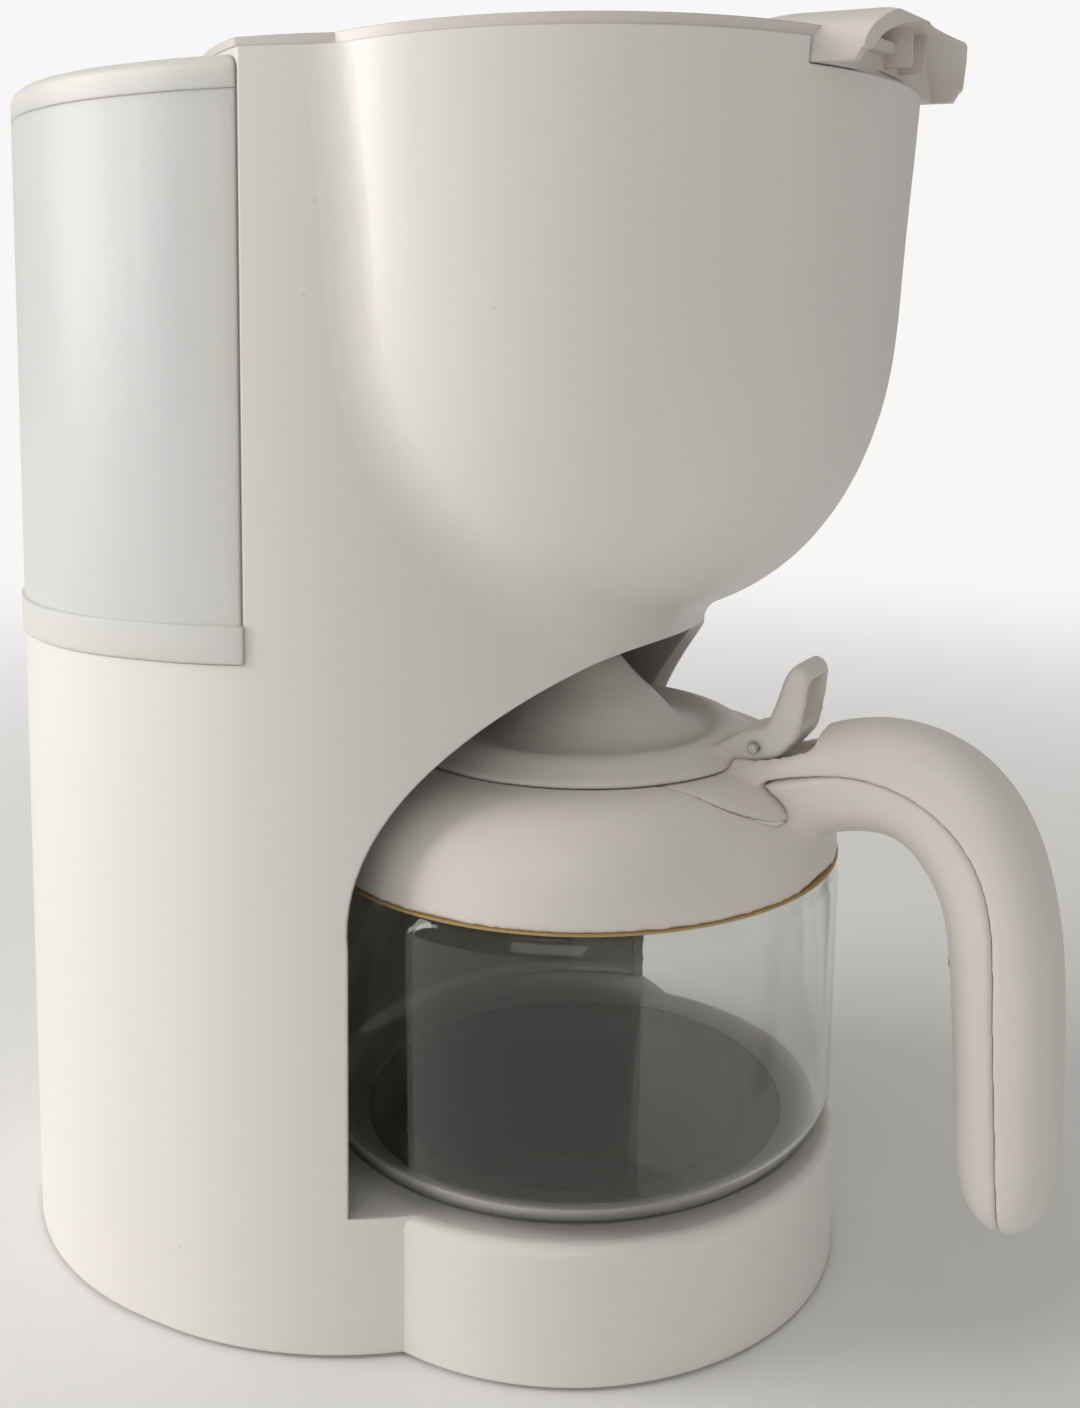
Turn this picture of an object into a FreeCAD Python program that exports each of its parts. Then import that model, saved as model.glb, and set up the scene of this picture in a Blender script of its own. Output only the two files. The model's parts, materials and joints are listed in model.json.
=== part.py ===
# Drip coffee maker: a tower with a bowl-shaped brew chamber and a round warming base, a milky
# reservoir forming the upper back, a hinged lid, and a glass jug that stands in an arched bay.
# Millimetres, +Z up, the jug's side is -Y. Shapes are drawn about the tower's axis, then the whole
# model is moved so that the origin is the middle of the footprint, on the surface it stands on.
import FreeCAD, Part
import math
import os

# ---------------------------------------------------------------- driving dimensions
tower_radius = 87.5        # half of the tower's width
tower_stretch = 5.5        # straight stretch that makes the tower deeper than wide
wall = 2.6                 # moulded wall
floor_gap = 1.0            # the housing's lower edge stands this far above the surface
rim_slope = 0.03           # the top rises this much per millimetre towards the front

jug_y = -62.25             # axis of the jug, the base and the bowl
base_radius = 68.25
platform = 34.5            # top of the warming base
plate_radius = 45.0        # warming plate
ring_radius = 53.9         # outer radius of the plate's seal

jug_radius = 66.4
glass_height = 72.0        # jug glass that shows below the collar
glass_wall = 2.2
collar_height = 25.9
lid_radius = 46.3          # seam between collar and jug lid
dome_height = 23.0         # jug lid above the collar
dome_gap = 6.9             # from the dome to the bay's ceiling
bay_gap = 9.6              # from the jug to the bay's wall

bowl_radius = 76.4
bowl_flare = 2.3           # the bowl is this much wider at its rim
bowl_depth = 127.5         # from the lowest point to the rim over the tower's axis
bowl_round = 90.0          # height of the rounded lower part
bowl_blend = 19.0          # radius of the hollow blend between bowl and tower

tank_edge_angle = 74.3     # where the reservoir's front edge is, measured round from the front
tank_floor = 161.6         # underside of the reservoir over the tower's axis
tank_slope = 0.05          # it drops this much per millimetre towards the back
tank_wall = 2.4
tank_band = 8.5            # height of the band round its foot
tank_proud = 0.7           # the band and the tongue stand out this far
tongue_width = 46.0
tongue_bottom = 95.0

basket_radius = 66.0
stem_radius = 3.0          # drip stop
rocker_angle = 9.0

handle_width = 24.0
handle_reach = 125.4       # from the jug's axis to the handle's front
tab_width = 72.0

fit = 0.3                  # clearance between pieces that do not touch
running = 0.05             # clearance round a pin

# ---------------------------------------------------------------- sizes worked out from them
jug_bottom = platform + 0.7
collar_bottom = platform + glass_height
collar_top = collar_bottom + collar_height
dome_top = collar_top + dome_height
bay_top = dome_top + dome_gap
bowl_bottom = bay_top + 3.2
bay_radius = jug_radius + bay_gap
arch_half = bay_radius - 1.0
arch_spring = collar_bottom - 8.0
rim_height = bowl_bottom + bowl_depth
edge = math.radians(tank_edge_angle)
tank_inner = math.hypot(tower_radius * math.sin(edge), -tower_radius * math.cos(edge) - jug_y)
partition_outer = tank_inner - fit
partition_inner = partition_outer - wall
back = tower_radius + tower_stretch
hinge_y = jug_y + partition_inner - 5.0
deck = 2.4                 # thickness of the lid and of the deck below it


def v(x, y, z):
    return FreeCAD.Vector(x, y, z)


def rim_z(y):
    """Height of the sloping top at a distance y from the tower's axis."""
    return rim_height - rim_slope * y


def floor_z(y):
    """Height of the reservoir's sloping underside."""
    return tank_floor - tank_slope * y


def rod(radius, z0, z1, x=0.0, y=0.0):
    return Part.makeCylinder(radius, z1 - z0, v(x, y, z0))


def pipe(outer, inner, z0, z1, x=0.0, y=0.0):
    return rod(outer, z0, z1, x, y).cut(rod(inner, z0 - 1, z1 + 1, x, y))


def bar(radius, start, end):
    """A round bar between two points."""
    way = v(*end) - v(*start)
    return Part.makeCylinder(radius, way.Length, v(*start), way)


def block(x0, x1, y0, y1, z0, z1):
    return Part.makeBox(x1 - x0, y1 - y0, z1 - z0, v(x0, y0, z0))


def join(shapes):
    whole = shapes[0].multiFuse(shapes[1:]) if len(shapes) > 1 else shapes[0]
    return whole.removeSplitter()


def curve(points):
    line = Part.BSplineCurve()
    line.interpolate([v(*point) for point in points])
    return line.toShape()


def lines(points):
    return [Part.makeLine(v(*a), v(*b)) for a, b in zip(points, points[1:])]


def prism_x(outline, x0, x1):
    """A closed outline of (y, z) points pushed along X."""
    points = [(x0, y, z) for y, z in outline]
    face = Part.Face(Part.makePolygon([v(*p) for p in points + points[:1]]))
    return face.extrude(v(x1 - x0, 0, 0))


def turned(edges, y=jug_y):
    """Edges drawn in the XZ plane, closed along the axis where needed, turned about it."""
    face = Part.Face(Part.Wire(Part.__sortEdges__(edges)))
    return face.revolve(v(0, 0, 0), v(0, 0, 1), 360).translate(v(0, y, 0))


def turned_outline(points, y=jug_y):
    return turned(lines([(r, 0, z) for r, z in points + points[:1]]), y)


def tower(inset, z0, z1):
    """The tower's plan, drawn inwards by inset."""
    radius = tower_radius - inset
    front = rod(radius, z0, z1)
    rear = rod(radius, z0, z1, y=tower_stretch)
    return join([front, rear, block(-radius, radius, 0, tower_stretch, z0, z1)])


def above(height, rise, slope):
    """Everything above a plane that slopes along Y."""
    far = 400.0
    level = height + rise
    outline = [(-far, level + slope * far), (far, level - slope * far), (far, 900), (-far, 900)]
    return prism_x(outline, -far, far)


def above_rim(rise=0.0):
    return above(rim_height, rise, rim_slope)


def above_floor(rise=0.0):
    return above(tank_floor, rise, tank_slope)


def bowl_edge(inset, rim=24.0):
    """Outline of the bowl, from its lowest point to above the rim: a rounded foot, then a flare."""
    height = bowl_round - inset
    points = []
    for degrees in (0, 14, 28, 42, 56, 72, 90):
        angle = math.radians(degrees)
        radius = (bowl_radius - inset) * math.sin(angle) ** 0.76
        drop = height * math.cos(angle) ** 0.86
        points.append((radius, 0, bowl_bottom + bowl_round - drop))
    top = bowl_bottom + bowl_depth
    points.append((bowl_radius + 0.5 * bowl_flare - inset, 0, 0.5 * (bowl_bottom + bowl_round + top)))
    points.append((bowl_radius + bowl_flare - inset, 0, top))
    points.append((bowl_radius + 1.25 * bowl_flare - inset, 0, top + rim))
    return points


def bowl(inset):
    points = bowl_edge(inset)
    top = points[-1][2]
    close = lines([points[-1], (0, 0, top), points[0]])
    return turned([curve(points)] + close)


def pocket(grown):
    """The reservoir's place: behind an arc about the bowl, above the sloping floor."""
    whole = above_floor(-grown)
    return whole.cut(rod(tank_inner - grown, -10, 990, y=jug_y))


def arch(grown, y0, y1, z0=None):
    """The bay's round-topped opening, pushed along Y: upright sides, then a squarish round top."""
    half = arch_half + grown
    foot = platform if z0 is None else z0
    rise = bay_top + grown - arch_spring
    side = []
    for degrees in range(0, 181, 15):
        angle = math.radians(degrees)
        bend = 0.8
        x = math.copysign(abs(math.cos(angle)) ** bend, math.cos(angle))
        side.append((half * x, y0, arch_spring + rise * math.sin(angle) ** bend))
    feet = lines([side[-1], (-half, y0, foot), (half, y0, foot), side[0]])
    face = Part.Face(Part.Wire([curve(side)] + feet))
    return face.extrude(v(0, y1 - y0, 0))


def rounded(shape, radius, chosen):
    """Round the edges that the test picks out."""
    return shape.makeFillet(radius, [e for e in shape.Edges if chosen(e)])


def route(points, bend, radius):
    """A round hose or wire along straight runs joined by arcs."""
    marks = [v(*point) for point in points]
    edges = []
    start = marks[0]
    for before, corner, after in zip(marks, marks[1:], marks[2:]):
        inward = (before - corner).normalize()
        onward = (after - corner).normalize()
        half = inward.getAngle(onward) / 2
        setback = bend / math.tan(half)
        first = corner + inward * setback
        last = corner + onward * setback
        middle = (inward + onward).normalize()
        centre = corner + middle * (bend / math.sin(half))
        edges.append(Part.makeLine(start, first))
        edges.append(Part.Arc(first, centre - middle * bend, last).toShape())
        start = last
    edges.append(Part.makeLine(start, marks[-1]))
    path = Part.Wire(edges)
    ring = Part.Wire(Part.makeCircle(radius, marks[0], marks[1] - marks[0]))
    return path.makePipeShell([ring], True, False, 2)


# ---------------------------------------------------------------- housing
boss_places = [(-52.0, jug_y - 31), (52.0, jug_y - 31), (-62.0, 46.0), (62.0, 46.0)]
boss_radius = 4.2
screw_radius = 1.6
cover_base = floor_gap + 0.4
cover_top = floor_gap + 2.8
drain_radius = 9.0
liner = 2.0
hose_outer = 5.0
hose_inner = 3.3
hose_bore = 2.0                     # bore of the tubes the hoses push onto
pipe_x = 30.0                       # hoses run either side of the middle
riser_y = jug_y + math.sqrt((0.5 * (bowl_radius + bowl_flare + partition_inner)) ** 2 - pipe_x ** 2)
outlet_y = 56.0
spray_z = rim_height - 12.5
gland_y = back
gland_z = 21.0
gland_proud = 1.2
gland_radius = 8.0
tongue_depth = 1.4
knuckle = 2.9
hinge_z = rim_z(hinge_y) + 3.2
hinge_half = 19.0
tab_front = bowl_radius + bowl_flare + 10.0
notch_depth = 5.6
switch_x = tower_radius - 8.5       # rocker's axis
switch_y = 22.0
switch_z = 62.0
bezel_half = (9.0, 14.0)


def bay_space(grown, z0):
    """The room the jug stands in."""
    opening = arch(grown, jug_y - 40, back, z0)
    return opening.common(rod(bay_radius + grown, z0, bay_top + grown + 5, y=jug_y))


def is_crease(e):
    """Edges where the bowl meets the tower's skin."""
    box = e.BoundBox
    return type(e.Curve).__name__ == "BSplineCurve" and box.YMax < -30 and box.ZMin < rim_height - 5 \
        and box.YLength > 15


def make_shell():
    """The outside of the housing as one solid block."""
    body = tower(0, floor_gap, rim_height + 20).fuse(bowl(0)).removeSplitter()
    body = rounded(body, bowl_blend, lambda e: is_crease(e) and e.BoundBox.ZMax > rim_height)
    base = rod(base_radius, floor_gap, platform, y=jug_y)
    base = rounded(base, 3.0, lambda e: e.BoundBox.ZMin > platform - 0.01)
    return body.fuse(base).cut(above_rim())


def boss(x, y):
    return rod(boss_radius, cover_top + 0.1, platform - wall + 0.5, x, y)


def make_hollow():
    """The space inside the tower's skin, round the brew chamber and the reservoir."""
    space = tower(wall, -5, rim_height + 20).cut(above_rim(-deck))
    space = space.cut(pocket(fit + wall)).cut(bowl(0))
    floor_plate = rod(bay_radius + liner + fit, platform - wall, platform, y=jug_y)
    return space.cut(floor_plate.common(tower(0, 0, platform + 1)))


def make_housing():
    body = make_shell().cut(pocket(fit)).cut(make_hollow())
    body = body.cut(arch(0, jug_y - 40, -8))
    body = body.cut(rod(base_radius - wall, -5, platform - wall, y=jug_y))
    body = body.cut(bowl(wall))
    body = body.cut(rod(ring_radius + fit, 0, platform + 5, y=jug_y))
    body = body.cut(rod(drain_radius, bowl_bottom - 4, bowl_bottom + 20, y=jug_y))
    body = body.cut(block(-tab_width / 2 - fit, tab_width / 2 + fit, jug_y - 120, jug_y - 40,
                          rim_z(jug_y - bowl_radius) - notch_depth, rim_height + 30))
    body = body.cut(block(pipe_x - 9, pipe_x + 9, riser_y - 14, riser_y + 5.6,
                          spray_z - 7, rim_height + 30))
    body = body.cut(rod(6.3, tank_floor - 12, tank_floor + 5, -pipe_x, outlet_y))
    skin = tower(tongue_depth, 0, 200)
    slot_half = tongue_width / 2 + 0.2
    tongue_slot = block(-slot_half, slot_half, 30, 120, tongue_bottom - 0.2, tank_floor)
    body = body.cut(tongue_slot.cut(skin))
    body = body.cut(block(switch_x - 10, tower_radius + 5, switch_y - bezel_half[0] - 0.15,
                          switch_y + bezel_half[0] + 0.15, switch_z - bezel_half[1] - 0.15,
                          switch_z + bezel_half[1] + 0.15))
    body = body.cut(bar(gland_radius - 2 + fit / 2, (0, 60, gland_z), (0, 120, gland_z)))
    back_bosses = [boss(x, y).fuse(block(min(x, x * 1.25), max(x, x * 1.25), y - 1.2, y + 1.2, 8, 26))
                   for x, y in boss_places[2:]]
    back_bosses = [b.common(tower(0.5 * wall, 0, 60)) for b in back_bosses]
    body = join([body] + [boss(x, y) for x, y in boss_places[:2]] + back_bosses)
    for x, y in boss_places:
        body = body.cut(rod(screw_radius - 0.05, cover_base, cover_base + 16, x, y))
    return body.fuse(make_lugs()).removeSplitter()


def make_lugs():
    """Two ears on the deck that carry the lid's pin, on a bar along the partition."""
    bridge = block(-hinge_half - 4, hinge_half + 4, hinge_y + knuckle + 1.2, hinge_y + 20,
                   rim_z(0) - deck - 4, rim_z(hinge_y) + deck)
    bridge = bridge.common(rod(partition_outer, 0, 900, y=jug_y)).cut(above_rim(deck))
    ears = []
    for side in (-1, 1):
        inner = side * (hinge_half - 4.0)
        outer = side * hinge_half
        ear = bar(knuckle, (inner, hinge_y, hinge_z), (outer, hinge_y, hinge_z))
        foot = block(min(inner, outer), max(inner, outer), hinge_y - knuckle, hinge_y + knuckle + 2,
                     rim_z(hinge_y) - deck, hinge_z - 1)
        hole = bar(1.5, (inner - 9, hinge_y, hinge_z), (outer + 9, hinge_y, hinge_z))
        ears.append(ear.fuse(foot).cut(hole))
    return join([bridge] + ears)


def make_liner():
    outside = bay_space(liner, platform)
    space = outside.cut(bay_space(0, platform - 1)).common(tower(wall + 0.1, 0, 400))
    return space.cut(rod(drain_radius, bay_top - 5, bay_top + 9, y=jug_y))


def make_base_cover():
    plate = tower(wall + fit, cover_base, cover_top)
    plate = plate.fuse(rod(base_radius - wall - fit, cover_base, cover_top, y=jug_y)).removeSplitter()
    for x, y in boss_places:
        plate = plate.cut(rod(screw_radius + 0.3, 0, 9, x, y))
        plate = plate.cut(rod(3.4, 0, cover_base + 1.1, x, y))
    for x, y in foot_places:
        plate = plate.cut(rod(3.1, 0, 9, x, y))
    for index in range(7):
        slot_y = jug_y - 24 + 8 * index
        plate = plate.cut(block(-18, 18, slot_y - 1.5, slot_y + 1.5, 0, 9))
    return plate


foot_places = [(-36.0, jug_y - 44), (36.0, jug_y - 44), (-46.0, 62.0), (46.0, 62.0)]


def make_feet():
    feet = []
    for x, y in foot_places:
        pad = rod(7.0, 0, cover_base, x, y)
        stem = rod(3.0, cover_base, cover_top, x, y)
        head = rod(4.0, cover_top, cover_top + 1.6, x, y)
        feet.append(join([pad, stem, head]))
    return Part.makeCompound(feet)


def make_base_screws():
    screws = []
    for x, y in boss_places:
        head = rod(3.1, cover_base, cover_base + 1.1, x, y)
        screws.append(head.fuse(rod(screw_radius - 0.1, cover_base + 1.1, cover_base + 15, x, y)))
    return Part.makeCompound(screws)


# ---------------------------------------------------------------- warming plate and heater
plate_top = platform + 0.6
heater_radius = 34.0
tube_radius = 5.5
heater_z = 25.6
tail_end = jug_y + ring_radius + 6.0


def make_hotplate():
    disc = turned_outline([(0, plate_top - 2), (plate_radius, plate_top - 2),
                           (plate_radius, plate_top - 0.8), (plate_radius - 1.2, plate_top),
                           (0, plate_top)])
    seat = pipe(heater_radius + 4, heater_radius - 4, heater_z + tube_radius - 1.2, plate_top - 2, y=jug_y)
    return disc.fuse(seat).cut(make_heater())


def make_ring():
    low = plate_top - 4.0
    return turned_outline([(plate_radius, low), (ring_radius, low), (ring_radius, platform - 0.6),
                           (ring_radius - 1.5, platform + 0.1), (plate_radius + 1.2, platform - 0.9),
                           (plate_radius, platform - 0.9)])


def along_pipe(radius, side, y0, y1):
    """A round bar on the line of one heater tail."""
    return bar(radius, (side * pipe_x, y0, heater_z), (side * pipe_x, y1, heater_z))


def make_heater():
    """The heater's ring, open at the back, with two tails that the hoses push onto."""
    gap_y = jug_y + heater_radius * math.sin(math.acos(pipe_x / heater_radius))
    whole = Part.makeTorus(heater_radius, tube_radius, v(0, jug_y, heater_z), v(0, 0, 1))
    whole = whole.cut(block(-90, 90, gap_y, 90, 0, 60))
    for side in (-1, 1):
        stub = along_pipe(tube_radius - 0.4, side, gap_y - 4, gap_y + 14)
        tail = along_pipe(hose_inner - 0.05, side, gap_y, tail_end)
        bore = along_pipe(hose_bore, side, gap_y + 2, tail_end + 1)
        whole = whole.fuse(stub).fuse(tail).cut(bore)
    return whole.removeSplitter()


def make_heater_clamp():
    strap_z = heater_z - tube_radius
    strap = block(-42, 42, jug_y - 6, jug_y + 6, strap_z - 1.6, strap_z)
    leg_top = platform - wall - 0.4
    for side in (-1, 1):
        leg = block(side * 43 - 1, side * 43 + 1, jug_y - 6, jug_y + 6, strap_z - 1.6, leg_top)
        strap = strap.fuse(leg)
    return strap.removeSplitter()


def make_thermostat():
    can = rod(8.0, plate_top - 9, plate_top - 2, y=jug_y)
    flange = block(-14, 14, jug_y - 4, jug_y + 4, plate_top - 3.2, plate_top - 2)
    return can.fuse(flange).removeSplitter()


def make_fuses():
    fuses = []
    for side in (-1, 1):
        start = (side * 6.0, jug_y + 13, plate_top - 5.0)
        end = (side * 21.0, jug_y + 13, plate_top - 5.0)
        fuses.append(bar(2.2, start, end))
    return Part.makeCompound(fuses)


# ---------------------------------------------------------------- water path
valve_z = 84.0


def hose(points, bend):
    outer = route(points, bend, hose_outer)
    inner = route(points, bend, hose_inner)
    return outer.cut(inner)


def make_cold_upper():
    top = floor_z(outlet_y) - 8
    return hose([(-pipe_x, outlet_y, top), (-pipe_x, outlet_y, valve_z + 6)], 16.0)


def make_cold_lower():
    return hose([(-pipe_x, outlet_y, valve_z - 6), (-pipe_x, outlet_y, heater_z),
                 (-pipe_x, tail_end - 8, heater_z)], 16.0)


def make_riser():
    return hose([(pipe_x, tail_end - 8, heater_z), (pipe_x, riser_y, heater_z),
                 (pipe_x, riser_y, spray_z - 7)], 10.0)


def make_check_valve():
    can = rod(7.5, valve_z - 6, valve_z + 6, -pipe_x, outlet_y)
    spigots = rod(hose_inner - 0.05, valve_z - 15, valve_z + 15, -pipe_x, outlet_y)
    bore = rod(hose_bore, valve_z - 16, valve_z + 16, -pipe_x, outlet_y)
    return can.fuse(spigots).cut(bore).removeSplitter()


def make_clips():
    """Spring clips where the hoses push onto their tubes."""
    clips = []
    for z in (valve_z - 11, valve_z + 11, floor_z(outlet_y) - 15):
        clips.append(pipe(hose_outer + 0.9, hose_outer, z - 2, z + 2, -pipe_x, outlet_y))
    for side in (-1, 1):
        outer = along_pipe(hose_outer + 0.9, side, tail_end - 6, tail_end - 2)
        clips.append(outer.cut(along_pipe(hose_outer, side, tail_end - 9, tail_end + 1)))
    return Part.makeCompound(clips)


def make_spray_arm():
    """The outlet over the basket: a spigot in the riser, an arm and a pierced rose."""
    elbow = (pipe_x, riser_y, spray_z)
    rose_top = (0.0, jug_y, spray_z)
    arm = bar(4.0, elbow, rose_top)
    head = turned_outline([(0, spray_z - 8), (17, spray_z - 8), (19, spray_z - 6), (19, spray_z - 5),
                           (7, spray_z + 5), (0, spray_z + 5)])
    spigot = rod(hose_inner - 0.05, spray_z - 18, spray_z, pipe_x, riser_y)
    collar = rod(hose_outer, spray_z - 7, spray_z + 5, pipe_x, riser_y)
    whole = arm.fuse(head).fuse(spigot).fuse(collar)
    for index in range(8):
        angle = math.radians(45 * index)
        x = 13 * math.cos(angle)
        y = jug_y + 13 * math.sin(angle)
        whole = whole.cut(rod(1.3, spray_z - 9, spray_z - 5.8, x, y))
    return whole.cut(rod(hose_bore, spray_z - 19, spray_z - 2, pipe_x, riser_y))


# ---------------------------------------------------------------- reservoir
cap_height = 7.2
cap_drop = 1.2             # the reservoir's cap lies this far below the tower's rim
cap_round = 3.0
flap_half = 37.0
flap_front = jug_y + tank_inner + 7.0
flap_back = back - 16.0
flap_knuckle = 1.9
flap_y = flap_front + 2.2
flap_z = rim_z(flap_y) - cap_drop - 1.2
flap_swing = 2.9           # room for the flap's front edge as it turns


def tank_block(inset, z1):
    return tower(inset, 0, z1).cut(rod(tank_inner + max(inset, 0), -10, 990, y=jug_y))


def make_tank():
    top = rim_height + 20
    shell = tank_block(0, top).common(above_floor())
    band = tank_block(-tank_proud, top).common(above_floor()).cut(above_floor(tank_band))
    body = shell.fuse(band).cut(above_rim(-cap_drop - cap_height))
    body = body.cut(tank_block(tank_wall, top).common(above_floor(tank_wall)))
    strip = tower(-tank_proud, tongue_bottom, tank_floor + 4).cut(tower(tongue_depth - 0.1, 0, 300))
    half = tongue_width / 2
    strip = strip.common(block(-half, half, 30, 120, tongue_bottom, tank_floor + 4))
    strip = strip.cut(above_floor(2.0))
    low = floor_z(outlet_y)
    spout = rod(6.0, low - 8, low + 1, -pipe_x, outlet_y)
    spigot = rod(hose_inner - 0.05, low - 20, low, -pipe_x, outlet_y)
    return join([body, strip, spout, spigot]).cut(rod(hose_bore, low - 21, low + 9, -pipe_x, outlet_y))


def flap_block(grown, low, high):
    """The filling flap's place in the cap, between two depths below the rim."""
    half = flap_half + grown
    plan = block(-half, half, flap_front - grown, flap_back + grown, 200, rim_height + 20)
    plan = rounded(plan, 5.0, lambda e: e.BoundBox.ZLength > 50)
    return plan.common(above_rim(low)).cut(above_rim(high))


def is_cap_rim(e):
    box = e.BoundBox
    level = rim_z(box.YMax) - cap_drop - 0.05
    return box.YMax > tower_stretch + 40 and box.ZMax > level and box.XLength > 2 * tower_radius - 1


def make_tank_cap():
    """The reservoir's fixed cap, with an opening for its filling flap and a ledge under it."""
    top = rim_height + 20
    cap = tank_block(0, top).common(above_rim(-cap_drop - cap_height + 0.1)).cut(above_rim(-cap_drop))
    cap = rounded(cap, cap_round, is_cap_rim)
    hollow = tank_block(2.8, top).cut(above_rim(-cap_drop - 2.4))
    ledge = flap_block(3.0, -cap_drop - 5.6, -cap_drop - 2.3)
    cap = cap.cut(hollow).fuse(ledge.common(tank_block(0, top)))
    cap = cap.cut(flap_block(0.3, -cap_drop - 2.5, 9)).cut(flap_block(-2.6, -20, 9))
    cap = cap.cut(block(-22, 22, flap_front - 0.3, flap_front + 5.6, 200, top))
    cap = cap.cut(bar(flap_swing, (-flap_half - fit, flap_y, flap_z), (flap_half + fit, flap_y, flap_z)))
    ears = []
    for side in (-1, 1):
        inner = side * 16.3
        outer = side * 22.0
        eye = bar(flap_knuckle, (inner, flap_y, flap_z), (outer, flap_y, flap_z))
        web = block(min(inner, outer), max(inner, outer), flap_front - 0.5, flap_y,
                    flap_z - flap_knuckle, flap_z)
        hole = bar(1.0, (inner - 9, flap_y, flap_z), (outer + 9, flap_y, flap_z))
        ears.append(eye.fuse(web).cut(hole))
    return join([cap] + ears)


def make_tank_flap():
    """The flap that lifts for filling, with a finger scoop at its back."""
    plate = flap_block(0, -cap_drop - 2.2, -cap_drop)
    plate = plate.cut(block(-22.3, 22.3, flap_front - 1, flap_y + flap_knuckle + 0.5, 200, 400))
    plate = plate.cut(rod(9.0, rim_z(flap_back) - cap_drop - 1.1, 400, 0, flap_back + 4.0))
    barrel = bar(flap_knuckle, (-16, flap_y, flap_z), (16, flap_y, flap_z))
    tie = block(-16, 16, flap_y, flap_y + flap_knuckle + 1.5, flap_z - 0.9, flap_z + 0.6)
    hole = bar(1.0 + running, (-30, flap_y, flap_z), (30, flap_y, flap_z))
    return join([plate, barrel, tie]).cut(hole)


def make_flap_pin():
    return bar(1.0, (-22, flap_y, flap_z), (22, flap_y, flap_z))


def make_tank_seal():
    """Rubber ring between the reservoir's spout and the shelf."""
    shelf = floor_z(outlet_y) - wall
    return pipe(8.6, 6.0, shelf - 3.4, shelf - 1.4, -pipe_x, outlet_y)


# ---------------------------------------------------------------- lid
lid_edge = 1.0


def make_lid():
    top = rim_height + 25
    plan = tower(lid_edge, 200, top).fuse(bowl(lid_edge)).removeSplitter()
    plan = plan.common(rod(partition_outer, 200, top, y=jug_y))
    crown = 2200.0
    tilt = v(0, rim_slope, 1).normalize()
    centre = v(0, jug_y, rim_z(jug_y) + deck + 1.5) - tilt * crown
    plate = plan.common(above_rim(0.1)).common(Part.makeSphere(crown, centre))
    plate = plate.cut(block(-hinge_half - 4.3, hinge_half + 4.3, hinge_y - knuckle - 0.7, 120, 0, 900))
    plate = plate.cut(block(-120, 120, hinge_y + 0.5, 200, 0, 900))
    skirt = bowl(wall + 0.6).cut(bowl(wall + 2.4)).cut(above_rim(0.6)).common(above_rim(-3.5))
    skirt = skirt.common(block(-120, 120, jug_y - 120, jug_y - 8, 0, 900))
    arms = []
    for side in (-1, 1):
        near = side * (hinge_half - 10.0)
        far = side * (hinge_half - 4.3)
        x0 = min(near, far)
        x1 = max(near, far)
        eye = bar(knuckle, (x0, hinge_y, hinge_z), (x1, hinge_y, hinge_z))
        arm = block(x0, x1, hinge_y - 14, hinge_y, hinge_z - knuckle + 0.2, hinge_z + 0.8)
        arms.append(eye.fuse(arm))
    whole = join([plate, skirt] + arms + [make_tab()])
    return whole.cut(bar(1.5 + running, (-30, hinge_y, hinge_z), (30, hinge_y, hinge_z)))


tab_crest = rim_z(jug_y - bowl_radius) + 9.4
tab_foot = rim_z(jug_y - bowl_radius) - notch_depth + 0.3


def tab_arch(drop):
    """Cross-section of the tab, arched over its width, pushed along Y."""
    half = tab_width / 2 - drop * 0.8
    rise = tab_crest - drop - tab_foot
    points = []
    for degrees in range(0, 181, 20):
        angle = math.radians(degrees)
        points.append((half * math.cos(angle), -300, tab_foot + rise * math.sin(angle) ** 0.75))
    face = Part.Face(Part.Wire([curve(points)] + lines([points[-1], points[0]])))
    return face.extrude(v(0, 300, 0))


def make_tab():
    """The lid's finger tab: a thin arched hood over the notch in the bowl's rim."""
    front = jug_y - tab_front
    side = [(-1, -9.2), (-1, -5.0), (7, -2.4), (14, -0.6), (21, 0), (29, -2.2), (38, -6.9), (38, -9.0),
            (12, -20), (9.6, -15), (8.0, -12.4)]
    side = [(front + y, tab_crest + z) for y, z in side]
    hood = prism_x(side, -tab_width / 2, tab_width / 2).common(tab_arch(0))
    hood = hood.common(rod(tab_front, 200, 400, y=jug_y))
    hollow = tab_arch(3.6).common(block(-60, 60, front - 5, jug_y - bowl_radius + 1.5, 200, 400))
    hood = hood.cut(hollow)
    root = jug_y - bowl_radius
    for x in (-5.0, 5.0):
        rib = block(x - 0.5, x + 0.5, root - 5, root + 2, tab_crest - 12, tab_crest - 3)
        hood = hood.fuse(rib.common(tab_arch(1)))
    return hood.removeSplitter()


def make_lid_pin():
    return bar(1.5, (-hinge_half, hinge_y, hinge_z), (hinge_half, hinge_y, hinge_z))


# ---------------------------------------------------------------- basket and drip stop
basket_floor = bowl_bottom + wall + 6.0
basket_top = spray_z - 11.0
stem_bottom = dome_top + 0.4


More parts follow.
